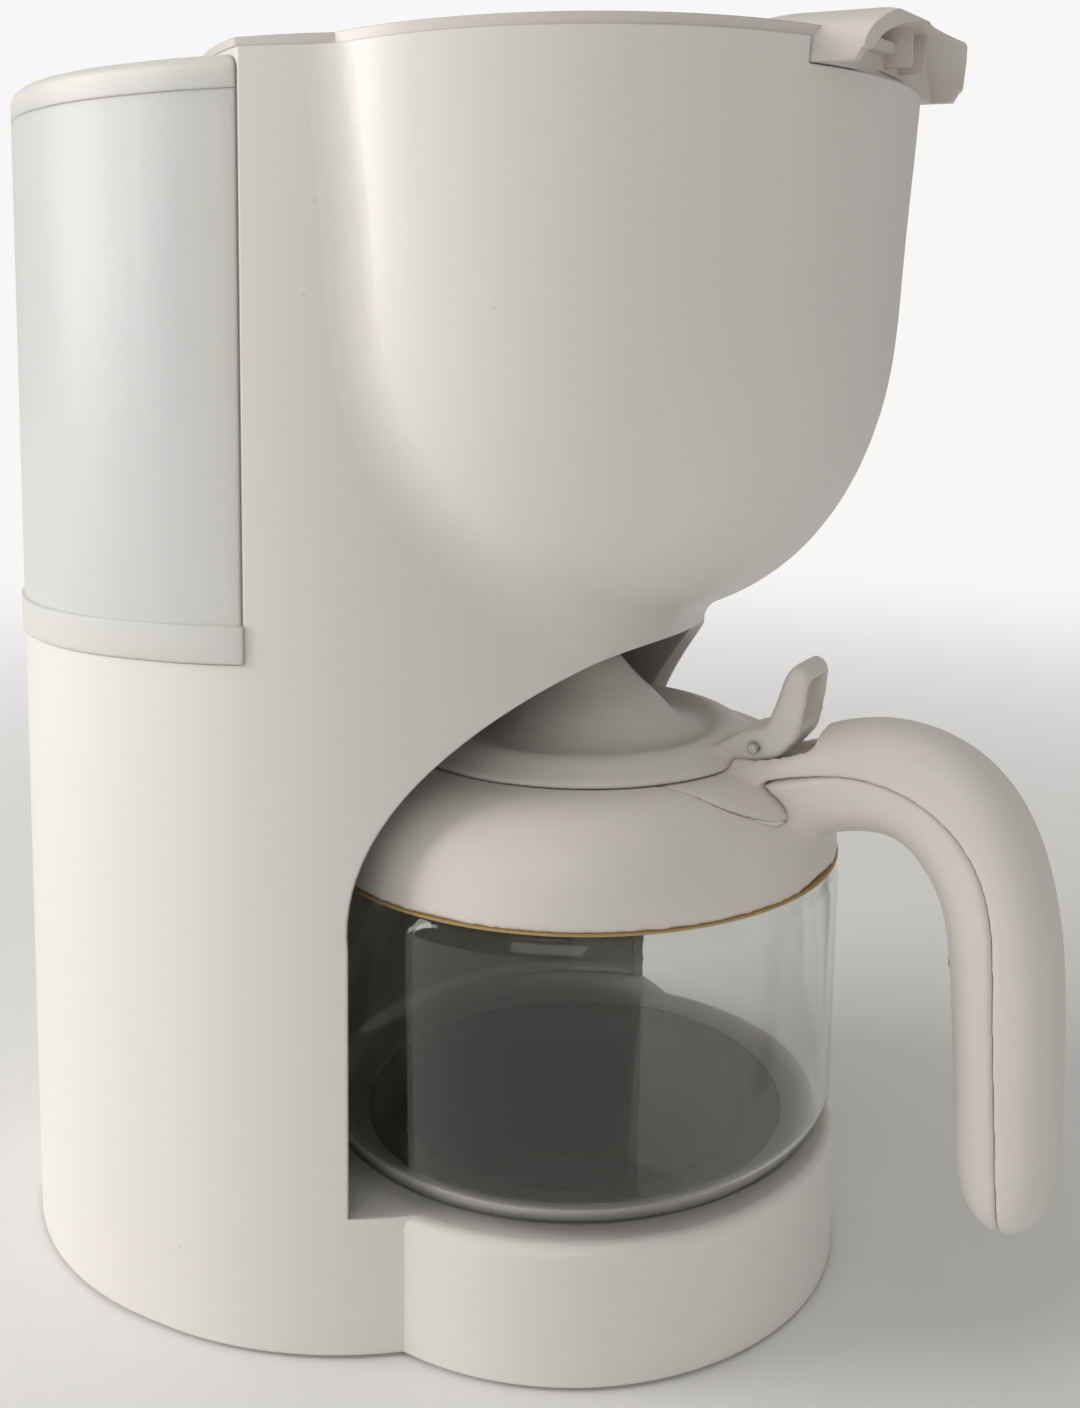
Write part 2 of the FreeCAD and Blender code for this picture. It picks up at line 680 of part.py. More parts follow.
def make_basket():
    rim = basket_radius + 3
    cone = turned_outline([(7, basket_floor), (27, basket_floor), (basket_radius, basket_top - 2),
                           (rim, basket_top - 2), (rim, basket_top), (basket_radius - 1.6, basket_top),
                           (25.8, basket_floor + 2), (7, basket_floor + 2)])
    foot = pipe(25, 22.5, bowl_bottom, basket_floor + 0.5, y=jug_y).common(bowl(wall))
    boss_tube = pipe(8.4, stem_radius + running, bowl_bottom + 1, basket_floor + 2, y=jug_y)
    ribs = []
    for index in range(12):
        rib = prism_x([(24, basket_floor + 1), (26.5, basket_floor + 1),
                       (basket_radius - 1, basket_top - 6), (basket_radius - 3, basket_top - 6)], -0.7, 0.7)
        rib.rotate(v(0, 0, 0), v(0, 0, 1), 30 * index)
        ribs.append(rib.translate(v(0, jug_y, 0)))
    return join([cone, foot, boss_tube] + ribs)


def make_valve():
    """Drip stop: a stem lifted by the jug's lid, with a disc over the basket's hole."""
    stem = rod(stem_radius, stem_bottom + 0.8, basket_floor + 3.4, y=jug_y)
    tip = turned_outline([(0, stem_bottom), (2.0, stem_bottom), (3.0, stem_bottom + 1),
                          (6.2, stem_bottom + 1.6), (6.2, stem_bottom + 2.8), (0, stem_bottom + 2.8)])
    disc = rod(6.0, basket_floor + 3.2, basket_floor + 5.0, y=jug_y)
    return join([stem, tip, disc])


def make_valve_seal():
    return pipe(6.4, stem_radius, basket_floor + 2.05, basket_floor + 3.15, y=jug_y)


def make_valve_spring():
    """A short coil round the stem, from its collar to the basket's boss."""
    low = stem_bottom + 3.2
    high = bowl_bottom + 0.6
    wire = 0.4
    coil_radius = 4.6
    turns = 3.5
    height = high - low - 2 * wire
    helix = Part.makeHelix(height / turns, height, coil_radius)
    ring = Part.Wire(Part.makeCircle(wire, v(coil_radius, 0, 0), v(0, 1, 0)))
    coil = Part.Wire(helix).makePipeShell([ring], True, True)
    return coil.translate(v(0, jug_y, low + wire))


# ---------------------------------------------------------------- electrics
def make_bezel():
    half_y, half_z = bezel_half
    outer = block(switch_x - 8, tower_radius - 0.1, switch_y - half_y, switch_y + half_y,
                  switch_z - half_z, switch_z + half_z)
    window = block(switch_x - 9, tower_radius + 3, switch_y - half_y + 2.6, switch_y + half_y - 2.6,
                   switch_z - half_z + 3, switch_z + half_z - 3)
    pivot = bar(1.5 + running, (switch_x, switch_y - 20, switch_z), (switch_x, switch_y + 20, switch_z))
    return outer.cut(window).cut(pivot)


def tipped(shape):
    """The rocker is stored in its off position."""
    return shape.rotate(v(switch_x, switch_y, switch_z), v(0, 1, 0), rocker_angle)


def rocker_blank():
    outline = [(-4, -7.5), (4.6, -9.2), (7.4, -8.9), (6.2, 0), (7.4, 8.9), (4.6, 9.2), (-4, 7.5)]
    points = [v(switch_x + x, switch_y - 6.1, switch_z + z) for x, z in outline + outline[:1]]
    return Part.Face(Part.makePolygon(points)).extrude(v(0, 12.2, 0))


def lens_block(grown):
    return block(switch_x + 4.6 - grown, switch_x + 9, switch_y - 3.4 - grown, switch_y + 3.4 + grown,
                 switch_z + 2.4 - grown, switch_z + 6.2 + grown)


def make_rocker():
    pivot = bar(1.5, (switch_x, switch_y - bezel_half[0] + 0.4, switch_z),
                (switch_x, switch_y + bezel_half[0] - 0.4, switch_z))
    return tipped(rocker_blank().fuse(pivot).cut(lens_block(0)))


def make_lens():
    return tipped(rocker_blank().common(lens_block(0)))


def make_switch_body():
    half_y, half_z = bezel_half
    case = block(switch_x - 24, switch_x - 8, switch_y - half_y, switch_y + half_y,
                 switch_z - half_z + 1, switch_z + half_z - 1)
    for z in (-7, 0, 7):
        case = case.fuse(block(switch_x - 32, switch_x - 24, switch_y - 0.4, switch_y + 0.4,
                               switch_z + z - 2.4, switch_z + z + 2.4))
    return case.removeSplitter()


def make_terminal_block():
    case = block(-16, 16, 48, 60, cover_top, cover_top + 14)
    for index in range(3):
        case = case.cut(rod(2.2, cover_top + 8, cover_top + 20, -10 + 10 * index, 54))
    return case


def make_gland():
    """Inlet for the mains lead, in the back of the tower near its foot."""
    flange = bar(gland_radius, (0, gland_y - 0.8, gland_z), (0, gland_y + gland_proud, gland_z))
    flange = flange.cut(tower(0, 0, 60))
    neck = bar(gland_radius - 2, (0, gland_y - wall - 5, gland_z), (0, gland_y + 0.2, gland_z))
    nut = bar(gland_radius + 1, (0, gland_y - wall - 5, gland_z), (0, gland_y - wall - 0.6, gland_z))
    bore = bar(3.4, (0, 60, gland_z), (0, 120, gland_z))
    return join([flange, neck, nut]).cut(bore)


def make_wires():
    """Insulated wires: terminals to switch, switch to thermostat, terminals to heater."""
    top = cover_top + 16
    first = route([(10, 54, cover_top + 10), (10, 54, top + 8), (40, 40, top + 14),
                   (switch_x - 35, switch_y, switch_z)], 5.0, 1.1)
    second = route([(switch_x - 35, switch_y, switch_z - 7), (46, switch_y - 4, 40), (46, -4, 20),
                    (44, jug_y + 18, 14), (16, jug_y + 16, 14), (14, jug_y + 9.5, 25)], 4.0, 1.1)
    third = route([(-10, 54, cover_top + 10), (-10, 54, top + 4), (-14, 10, 16),
                   (-12, jug_y + 26, 14), (-14, jug_y + 9.5, 25)], 4.0, 1.1)
    return Part.makeCompound([first, second, third])


# ---------------------------------------------------------------- jug
def collar_edge(offset):
    """Outline of the jug's collar, drawn inwards by an offset."""
    radius = jug_radius - 0.4 - offset
    reach = radius - (lid_radius - 0.35 * offset)
    points = []
    for degrees in (0, 18, 36, 54, 72, 90):
        angle = math.radians(degrees)
        points.append((radius - reach * (1 - math.cos(angle)) ** 1.15,
                       0, collar_bottom + (collar_height - 0.8 * offset) * math.sin(angle)))
    return points


def collar_solid(offset):
    points = collar_edge(offset)
    top = points[-1][2]
    base = collar_bottom
    rest = lines([points[-1], (0, 0, top), (0, 0, base), points[0]])
    return turned([curve(points)] + rest)


def make_glass():
    zb = jug_bottom
    inner = jug_radius - glass_wall
    corner = 9.0
    bend = math.sqrt(0.5)
    shoulder = collar_edge(2.6)
    outer = [(0, 0, zb + 1.0), (30, 0, zb + 0.9), (50, 0, zb + 0.1), (jug_radius - corner, 0, zb)]
    corner_mid = (jug_radius - corner * (1 - bend), 0, zb + corner * (1 - bend))
    corner_end = (jug_radius, 0, zb + corner)
    edges = lines(outer)
    edges.append(Part.Arc(v(*outer[-1]), v(*corner_mid), v(*corner_end)).toShape())
    neck = [(jug_radius, 0, collar_bottom - 6), (jug_radius - 0.9, 0, collar_bottom - 2.6),
            (jug_radius - 3.6, 0, collar_bottom - 0.6)] + shoulder[1:-1]
    edges.append(Part.makeLine(v(*corner_end), v(*neck[0])))
    edges.append(curve(neck))
    last = neck[-1]
    mouth = [last, (last[0] - glass_wall, 0, last[2] - 0.4)]
    edges.extend(lines(mouth))
    inside = [(r - glass_wall, 0, z - 0.9) for r, _, z in reversed(neck[:-1])]
    edges.append(curve([mouth[-1]] + inside))
    low_end = (inner, 0, zb + corner)
    edges.append(Part.makeLine(v(*inside[-1]), v(*low_end)))
    inset = (corner - glass_wall) * (1 - bend)
    low_mid = (inner - inset, 0, zb + glass_wall + inset)
    low_start = (jug_radius - corner, 0, zb + glass_wall)
    edges.append(Part.Arc(v(*low_end), v(*low_mid), v(*low_start)).toShape())
    edges.extend(lines([low_start, (0, 0, zb + glass_wall + 0.6), (0, 0, zb + 1.0)]))
    return turned(edges)


def make_jug_band():
    """The seal between the glass and the collar, which shows as a thin golden line."""
    return pipe(jug_radius - 0.1, jug_radius - 2.9, collar_bottom - 0.5, collar_bottom, y=jug_y)


def handle_point(reach, rise):
    """A point of the handle's side outline, from the jug's axis and the collar's lower edge."""
    return (0, jug_y - handle_reach + reach, collar_bottom + rise)


def handle_blank():
    """The handle, lofted through rounded sections: (reach, rise, half depth, half width, lean)."""
    sections = [(88, 17, 12.0, 13.0, 90), (77, 20, 12.6, 12.4, 94), (66, 22.4, 12.6, 12, 100),
                (54, 26.6, 12.8, 12, 101), (42, 28.2, 13.4, 12, 88), (31, 24.8, 14.0, 12, 66),
                (21.8, 15.4, 13.8, 12, 44), (16.2, 1.0, 12.7, 12, 18), (13.4, -22, 12.5, 12, 4),
                (12.2, -44, 12.1, 12, 1), (11.6, -60, 11.2, 11.4, 0), (11.4, -68, 9.0, 9.6, 0),
                (11.4, -72.6, 5.2, 6.0, 0), (11.4, -74.4, 1.6, 2.0, 0)]
    rings = []
    for reach, rise, depth, width, lean in sections:
        angle = math.radians(lean)
        centre = v(*handle_point(reach, rise))
        outward = v(0, -math.cos(angle), math.sin(angle)) * depth
        side = v(1, 0, 0) * (width * handle_width / 24.0)
        points = []
        for degrees in range(0, 360, 30):
            turn = math.radians(degrees)
            across = math.copysign(abs(math.cos(turn)) ** 0.88, math.cos(turn))
            along = math.copysign(abs(math.sin(turn)) ** 0.88, math.sin(turn))
            points.append(centre + outward * across + side * along)
        ring = Part.BSplineCurve()
        ring.interpolate(points, PeriodicFlag=True)
        rings.append(Part.Wire(ring.toShape()))
    return Part.makeLoft(rings, True, False)


def above_seam():
    """Everything outside the line along which the handle's two halves meet."""
    seam = [(95, 12), (80, 20), (72, 24.6), (61, 28), (46, 29.4), (31, 24.8), (20, 13.6), (14.6, -15),
            (11.6, -64), (10.8, -90)]
    points = [handle_point(*place) for place in seam]
    out = jug_y - 200
    far = [points[-1], (0, out, points[-1][2]), (0, out, 260), (0, points[0][1], 260), points[0]]
    face = Part.Face(Part.Wire([curve(points)] + lines(far))).translate(v(-40, 0, 0))
    return face.extrude(v(80, 0, 0))


def root_patch():
    """The part of the collar that belongs to the handle's cover."""
    half = 28.0
    rise = 11.5
    points = []
    for degrees in range(180, 361, 20):
        angle = math.radians(degrees)
        points.append((half * math.cos(angle), jug_y - 90,
                       collar_top + 1.2 + rise * math.sin(angle)))
    high = collar_top + 30
    top = [points[-1], (half, jug_y - 90, high), (-half, jug_y - 90, high), points[0]]
    face = Part.Face(Part.Wire([curve(points)] + lines(top)))
    return face.extrude(v(0, 90 - 12, 0))


def make_handle_parts():
    """The collar with the handle's inner half moulded on, and the cover that is the outer half."""
    blank = handle_blank().cut(collar_solid(1.0))
    outside = above_seam()
    slot = block(-8.4, 8.4, jug_y - 66, jug_y - 30, collar_top + 2.2, collar_top + 60)
    lid_hole = rod(lid_radius + 0.2, collar_bottom, collar_top + 40, y=jug_y)
    shell = collar_solid(0).cut(collar_solid(2.2)).cut(rod(lid_radius - 2.0, collar_bottom, 400, y=jug_y))
    patch = shell.common(root_patch())
    cover = blank.common(outside).cut(slot).cut(lid_hole).fuse(patch)
    inner_half = blank.cut(outside).cut(slot).cut(cover)
    collar = shell.cut(root_patch()).fuse(inner_half)
    return collar, cover


def make_jug_lid():
    top = collar_top
    outline = [(0, 0, top + 17.5), (4.8, 0, top + 17.5), (4.8, 0, top + 21), (6.4, 0, dome_top)]
    outer = [(6.4, 0, dome_top), (9.0, 0, dome_top - 1.4), (13, 0, top + 17.2), (20, 0, top + 10.4),
             (25.5, 0, top + 5.2), (29, 0, top + 3.9), (33, 0, top + 4.4), (37.2, 0, top + 5.7),
             (42, 0, top + 3.7), (lid_radius - 0.2, 0, top + 1.3)]
    inner = [(lid_radius - 0.2, 0, top + 0.1), (lid_radius - 3.0, 0, top + 0.1), (40, 0, top + 2.0),
             (37, 0, top + 3.2), (31, 0, top + 2.1), (25, 0, top + 2.4), (18, 0, top + 8.8),
             (11, 0, top + 15.2), (0, 0, top + 15.4)]
    edges = lines(outline) + [curve(outer)] + lines([outer[-1], inner[0], inner[1]]) + [curve(inner[1:-1])]
    edges.extend(lines([inner[-2], inner[-1], outline[0]]))
    plate = turned(edges).cut(rod(4.0, top, dome_top + 5, y=jug_y))
    lip = pipe(42.0, 40.2, top - 7, top + 1.4, y=jug_y)
    return join([plate, lip, make_lever()])


pin_y = jug_y - 51.0
pin_z = collar_top + 6.4
screw_places = ((24.0, -46.0), (27.0, -12.0))


def make_lever():
    """The thumb lever that tips the jug's lid."""
    outline = [(-40, 2.6), (-40, 5.0), (-47, 9.6), (-53, 11.4), (-55.4, 17.5), (-57.6, 24.6), (-60.2, 27.6),
               (-63, 26.8), (-64.1, 23.6), (-63, 15), (-61.6, 9.8), (-57, 4.6), (-50, 2.6)]
    points = [(jug_y + y, collar_top + z) for y, z in outline]
    lever = prism_x(points, -7.9, 7.9)
    lever = rounded(lever, 1.6, lambda e: e.BoundBox.XLength < 0.1 and e.BoundBox.ZMax > collar_top + 11.5)
    hollow = block(-5.4, 5.4, jug_y - 70, jug_y - 58.6, collar_top + 12.5, collar_top + 23.5)
    pin_hole = bar(1.2 + running, (-20, pin_y, pin_z), (20, pin_y, pin_z))
    return lever.cut(hollow).cut(pin_hole)


def make_jug_pin():
    return bar(1.2, (-9.6, pin_y, pin_z), (9.6, pin_y, pin_z))


def screw_room():
    """Wells in the handle's inner half, over the screws' heads."""
    return Part.makeCompound([bar(2.75, handle_point(40, rise), handle_point(reach - 2.2, rise))
                              for reach, rise in screw_places])


def make_handle_screws():
    """Screws that hold the handle's two halves together, from its inner side."""
    screws = []
    for reach, rise in screw_places:
        head_at = handle_point(reach, rise)
        tip_at = handle_point(reach - 16.0, rise)
        head = bar(2.6, head_at, handle_point(reach - 2.2, rise))
        screws.append(head.fuse(bar(1.3, head_at, tip_at)))
    return Part.makeCompound(screws)


# ---------------------------------------------------------------- write every piece
def make_pieces():
    blank_collar, blank_cover = make_handle_parts()
    screws = make_handle_screws()
    pin = make_jug_pin()
    return {
        "main_housing": make_housing(),
        "bay_liner": make_liner(),
        "base_cover": make_base_cover(),
        "feet": make_feet(),
        "base_screws": make_base_screws(),
        "hotplate": make_hotplate(),
        "hotplate_ring": make_ring(),
        "heater": make_heater(),
        "heater_clamp": make_heater_clamp(),
        "thermostat": make_thermostat(),
        "thermal_fuses": make_fuses(),
        "cold_hose_upper": make_cold_upper(),
        "cold_hose_lower": make_cold_lower(),
        "riser_hose": make_riser(),
        "check_valve": make_check_valve(),
        "hose_clips": make_clips(),
        "spray_arm": make_spray_arm(),
        "tank_body": make_tank(),
        "tank_cap": make_tank_cap(),
        "tank_flap": make_tank_flap(),
        "tank_flap_pin": make_flap_pin(),
        "tank_seal": make_tank_seal(),
        "top_lid": make_lid(),
        "lid_pin": make_lid_pin(),
        "filter_basket": make_basket(),
        "drip_valve": make_valve(),
        "drip_valve_seal": make_valve_seal(),
        "drip_valve_spring": make_valve_spring(),
        "switch_bezel": make_bezel(),
        "switch_rocker": make_rocker(),
        "switch_lens": make_lens(),
        "switch_body": make_switch_body(),
        "terminal_block": make_terminal_block(),
        "cord_gland": make_gland(),
        "wires": make_wires(),
        "jug_glass": make_glass(),
        "jug_band": make_jug_band(),
        "jug_collar": blank_collar.cut(screws).cut(screw_room()).cut(pin),
        "handle_cover": blank_cover.cut(screws).cut(pin),
        "jug_lid": make_jug_lid(),
        "jug_lid_pin": pin,
        "handle_screws": screws,
    }


def write(name, shape, move):
    moved = shape.copy()
    moved.translate(move)
    moved.exportStep("parts/" + name + ".step")
    state = "ok" if moved.isValid() else "BAD"
    print(name, len(moved.Solids), "solids", round(moved.Volume / 1000, 2), "cm3", state)


def main():
    os.makedirs("parts", exist_ok=True)
    pieces = make_pieces()
    handle_front = pieces["handle_cover"].optimalBoundingBox().YMin
    move = v(0, -(handle_front + back + gland_proud) / 2, 0)
    for name, shape in pieces.items():
        write(name, shape, move)


if __name__ == "__main__":
    main()
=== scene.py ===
# %% [markdown]
# # A drip coffee maker
# The machine is a white tower with a bowl-shaped brew chamber on its front, a milky water tank at
# its back and a glass jug on a warming plate. The measured model comes first, as a frame that
# nothing here moves. Each visible part of it then gets a clean surface and a finish of its own.

# %% Load the measured model
import json
import math

import bmesh
import bpy
from mathutils import Matrix, Vector

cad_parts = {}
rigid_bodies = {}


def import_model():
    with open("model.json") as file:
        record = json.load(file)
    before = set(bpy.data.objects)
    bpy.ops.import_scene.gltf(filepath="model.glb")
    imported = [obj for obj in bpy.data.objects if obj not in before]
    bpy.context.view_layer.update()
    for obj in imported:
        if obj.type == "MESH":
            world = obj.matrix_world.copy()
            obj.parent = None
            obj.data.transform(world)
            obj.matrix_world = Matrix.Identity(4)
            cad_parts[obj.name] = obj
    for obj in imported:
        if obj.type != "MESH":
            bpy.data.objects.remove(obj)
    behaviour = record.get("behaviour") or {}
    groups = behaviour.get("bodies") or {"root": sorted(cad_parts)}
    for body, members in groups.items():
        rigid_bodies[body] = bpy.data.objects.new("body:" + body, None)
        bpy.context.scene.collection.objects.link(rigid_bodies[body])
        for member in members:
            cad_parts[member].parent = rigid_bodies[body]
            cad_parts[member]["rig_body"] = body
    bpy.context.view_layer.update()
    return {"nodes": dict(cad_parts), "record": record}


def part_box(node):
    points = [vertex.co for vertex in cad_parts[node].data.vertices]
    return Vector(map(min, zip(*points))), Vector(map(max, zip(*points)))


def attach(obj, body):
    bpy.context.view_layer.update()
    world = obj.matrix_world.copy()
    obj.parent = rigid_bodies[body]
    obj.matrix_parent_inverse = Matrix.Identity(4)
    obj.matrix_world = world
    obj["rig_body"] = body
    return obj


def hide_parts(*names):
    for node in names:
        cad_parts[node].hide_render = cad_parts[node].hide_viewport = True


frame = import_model()
nodes = frame["nodes"]
scene = bpy.context.scene

# %% [markdown]
# ## Places that everything hangs on
# The jug, the bowl and the base share one upright axis, and the tower has another. Both come from
# the boxes of the measured parts, so a change of size there carries through to every piece here.

# %% Axes and levels
MM = 0.001


def middle(node):
    low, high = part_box(node)
    return (low + high) / 2


jug_axis = middle("jug_glass")
glass_low, glass_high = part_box("jug_glass")
glass_radius = (glass_high.x - glass_low.x) / 2
collar_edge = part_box("jug_band")[1].z
print("jug axis y", round(jug_axis.y, 4), "glass radius", round(glass_radius, 4))

# %% [markdown]
# ## The camera
# The camera stands close by, to the left and a little towards the jug's handle, and slightly above
# the jug. Its place and turn were fitted to the object's own proportions. It looks down a
# little, so the uprights lean together slightly, and the shift slides the frame without turning
# the view.

# %% Camera
EYE = Vector((-0.3422, -0.2021, 0.2421))
YAW, PITCH, ROLL = (math.radians(a) for a in (-62.70, 7.418, 1.171))


def camera_turn(yaw, pitch, roll):
    back = Vector((math.sin(yaw) * math.cos(pitch), -math.cos(yaw) * math.cos(pitch), math.sin(pitch)))
    right = Vector((0, 0, 1)).cross(back).normalized()
    up = back.cross(right)
    tipped_right = right * math.cos(roll) + up * math.sin(roll)
    tipped_up = up * math.cos(roll) - right * math.sin(roll)
    return Matrix((tipped_right, tipped_up, back)).transposed().to_4x4()


camera_data = bpy.data.cameras.new("camera")
camera = bpy.data.objects.new("camera", camera_data)
scene.collection.objects.link(camera)
camera_data.sensor_width = 36
camera_data.lens = 39.88
camera_data.shift_x = -0.0573
camera_data.shift_y = -0.139
camera_data.clip_start = 0.02
camera.matrix_world = Matrix.Translation(EYE) @ camera_turn(YAW, PITCH, ROLL)
scene.camera = camera
print("camera at", [round(c, 3) for c in camera.location])

# %% [markdown]
# ## Floor and light
# A pale floor that runs out of sight keeps the scene plain. A large soft panel on the left gives
# the broad light that rolls round the bowl, a weaker one in front keeps the jug readable, and a
# pale surround fills the shadows. Large panels also leave wide, gentle reflections in the gloss.

# %% Floor and lights
def area_light(name, place, aim, size, power, colour):
    data = bpy.data.lights.new(name, "AREA")
    data.shape = "RECTANGLE"
    data.size, data.size_y = size
    data.energy = power
    data.color = colour
    lamp = bpy.data.objects.new(name, data)
    scene.collection.objects.link(lamp)
    lamp.location = place
    lamp.rotation_euler = (Vector(aim) - Vector(place)).to_track_quat("-Z", "Y").to_euler()
    return lamp


area_light("key_panel", (-0.95, 1.45, 0.70), (0, 0, 0.14), (1.0, 1.2), 20, (1.0, 0.98, 0.945))
area_light("front_panel", (-1.7, -0.5, 1.0), (0, 0, 0.15), (1.0, 1.0), 2.6, (1.0, 0.975, 0.94))
area_light("top_panel", (-0.2, 0.2, 1.6), (0, 0, 0.2), (1.2, 1.2), 3.4, (1.0, 0.985, 0.96))

world = bpy.data.worlds.new("surround")
scene.world = world
world.use_nodes = True
sky = world.node_tree
sky_light = sky.nodes["Background"]
sky_light.inputs["Color"].default_value = (1.0, 0.98, 0.95, 1)
sky_light.inputs["Strength"].default_value = 0.37
sky_seen = sky.nodes.new("ShaderNodeBackground")
sky_seen.inputs["Color"].default_value = (0.93, 0.93, 0.93, 1)
sky_mix = sky.nodes.new("ShaderNodeMixShader")
sky.links.new(sky.nodes.new("ShaderNodeLightPath").outputs["Is Camera Ray"], sky_mix.inputs[0])
sky.links.new(sky_light.outputs[0], sky_mix.inputs[1])
sky.links.new(sky_seen.outputs[0], sky_mix.inputs[2])
sky.links.new(sky_mix.outputs[0], sky.nodes["World Output"].inputs["Surface"])
scene.view_settings.view_transform = "Standard"

# %% [markdown]
# ## Shared surface effects
# Real moulded plastic is never one flat value. Its mould leaves a fine grain, hands leave cloudy
# patches that are a little duller, and every edge is slightly rounded and carries a painted highlight
# that lightens its colour. Each effect is one node group, built once, and every material places it
# with its own numbers. Groups give out only heights, masks and normals, so the shader itself stays
# in the material.

# %% Node group helper
def new_group(name, inputs, outputs):
    tree = bpy.data.node_groups.new(name, "ShaderNodeTree")
    for label, value in inputs.items():
        socket = tree.interface.new_socket(label, in_out="INPUT", socket_type="NodeSocketFloat")
        socket.default_value = value
    for label, kind in outputs.items():
        tree.interface.new_socket(label, in_out="OUTPUT", socket_type=kind)
    entry = tree.nodes.new("NodeGroupInput")
    leave = tree.nodes.new("NodeGroupOutput")
    return tree, entry, leave


def add(tree, kind, settings=None, **inputs):
    """Adds a node, sets its own options, then fills its inputs from values or other sockets."""
    node = tree.nodes.new(kind)
    for key, value in (settings or {}).items():
        setattr(node, key, value)
    for label, value in inputs.items():
        socket = node.inputs[int(label[1:])] if label[0] == "n" and label[1:].isdigit() \
            else node.inputs[label.replace("_", " ")]
        if isinstance(value, bpy.types.NodeSocket):
            tree.links.new(value, socket)
        else:
            socket.default_value = value
    return node


def math_node(tree, operation, *values, clamp=False):
    inputs = {f"n{index}": value for index, value in enumerate(values)}
    return add(tree, "ShaderNodeMath", {"operation": operation, "use_clamp": clamp}, **inputs).outputs[0]


print("helpers ready")

# %% [markdown]
# ### Grain
# The grain has two parts: a fine sparkle from the etched mould, and a much wider ripple where the
# plastic shrank as it cooled. Two noise textures on Object coordinates give both, so the pattern
# stays on the piece when it moves.

# %% Grain group
def build_grain():
    tree, entry, leave = new_group("mould_grain", {"Fine": 2200.0, "Wide": 28.0, "Ripple": 0.5},
                                   {"Height": "NodeSocketFloat"})
    place = add(tree, "ShaderNodeTexCoord").outputs["Object"]
    fine = add(tree, "ShaderNodeTexNoise", Vector=place, Scale=entry.outputs["Fine"], Detail=2.0,
               Roughness=0.6)
    wide = add(tree, "ShaderNodeTexNoise", Vector=place, Scale=entry.outputs["Wide"], Detail=1.0)
    ripple = math_node(tree, "MULTIPLY", wide.outputs["Fac"], entry.outputs["Ripple"])
    tree.links.new(math_node(tree, "ADD", fine.outputs["Fac"], ripple), leave.inputs["Height"])
    return tree


grain_group = build_grain()
print("group", grain_group.name)

# %% [markdown]
# ### Handling
# Fingers and steam leave broad cloudy patches and a few small specks. A coarse noise makes the
# clouds. It has little detail on purpose, because a finely broken border shows as a crinkled line
# on pale gloss. A cell texture, cut off very low, makes scattered specks of coffee dust.

# %% Handling group
def build_handling():
    tree, entry, leave = new_group("handling", {"Scale": 9.0, "Specks": 120.0, "Speck_Size": 0.05},
                                   {"Cloud": "NodeSocketFloat", "Speck": "NodeSocketFloat"})
    place = add(tree, "ShaderNodeTexCoord").outputs["Object"]
    noise = add(tree, "ShaderNodeTexNoise", Vector=place, Scale=entry.outputs["Scale"], Detail=1.0,
                Roughness=0.4)
    cloud = add(tree, "ShaderNodeMapRange", {"interpolation_type": "SMOOTHSTEP"},
                Value=noise.outputs["Fac"], n1=0.2, n2=0.8)
    tree.links.new(cloud.outputs["Result"], leave.inputs["Cloud"])
    cells = add(tree, "ShaderNodeTexVoronoi", Vector=place, Scale=entry.outputs["Specks"])
    near = math_node(tree, "LESS_THAN", cells.outputs["Distance"], entry.outputs["Speck_Size"])
    picked = math_node(tree, "GREATER_THAN", add(tree, "ShaderNodeTexNoise", Vector=place,
                                                 Scale=17.0).outputs["Fac"], 0.60)
    tree.links.new(math_node(tree, "MULTIPLY", near, picked), leave.inputs["Speck"])
    return tree


handling_group = build_handling()
print("group", handling_group.name)

# %% [markdown]
# ### Soft edges
# Light catches the small rounding of every moulded edge. The Bevel node rounds only the normals, so
# a crisp CAD edge gets that highlight at no cost in faces. Where the rounded normal leaves the true
# one there is an edge, and that difference is the mask for a painted highlight, a lighter colour
# along the edge.

# %% Edge group
def build_edges():
    tree, entry, leave = new_group("soft_edges", {"Radius": 0.0006},
                                   {"Normal": "NodeSocketVector", "Edge": "NodeSocketFloat"})
    bevel = add(tree, "ShaderNodeBevel", {"samples": 4}, Radius=entry.outputs["Radius"])
    true_normal = add(tree, "ShaderNodeNewGeometry").outputs["Normal"]
    agree = add(tree, "ShaderNodeVectorMath", {"operation": "DOT_PRODUCT"},
                n0=bevel.outputs["Normal"], n1=true_normal)
    edge = add(tree, "ShaderNodeMapRange", {"interpolation_type": "SMOOTHSTEP"},
               Value=agree.outputs["Value"], n1=0.99, n2=0.80)
    tree.links.new(bevel.outputs["Normal"], leave.inputs["Normal"])
    tree.links.new(edge.outputs["Result"], leave.inputs["Edge"])
    return tree


edge_group = build_edges()
print("group", edge_group.name)

# %% [markdown]
# ## Plastic, rubber and metal
# One recipe covers every solid finish on the machine: a base colour that drifts towards a second
# tint in the cloudy patches and is lightened along the edges as a painted highlight, a roughness
# that rises in the same patches, and the grain as a bump over softened edges. What changes from
# finish to finish is only the numbers, so the recipe is a function. Numbers that are the same all
# over go straight on the shader.

# %% Finish recipe
def group_node(tree, group, **inputs):
    node = add(tree, "ShaderNodeGroup", {"node_tree": group})
    for label, value in inputs.items():
        node.inputs[label].default_value = value
    return node


def mix_colour(tree, factor, first, second):
    node = add(tree, "ShaderNodeMix", {"data_type": "RGBA"})
    for index, value in ((0, factor), (6, first), (7, second)):
        if isinstance(value, bpy.types.NodeSocket):
            tree.links.new(value, node.inputs[index])
        else:
            node.inputs[index].default_value = value if index == 0 else (*value, 1)
    return node.outputs[2]


finishes = {}


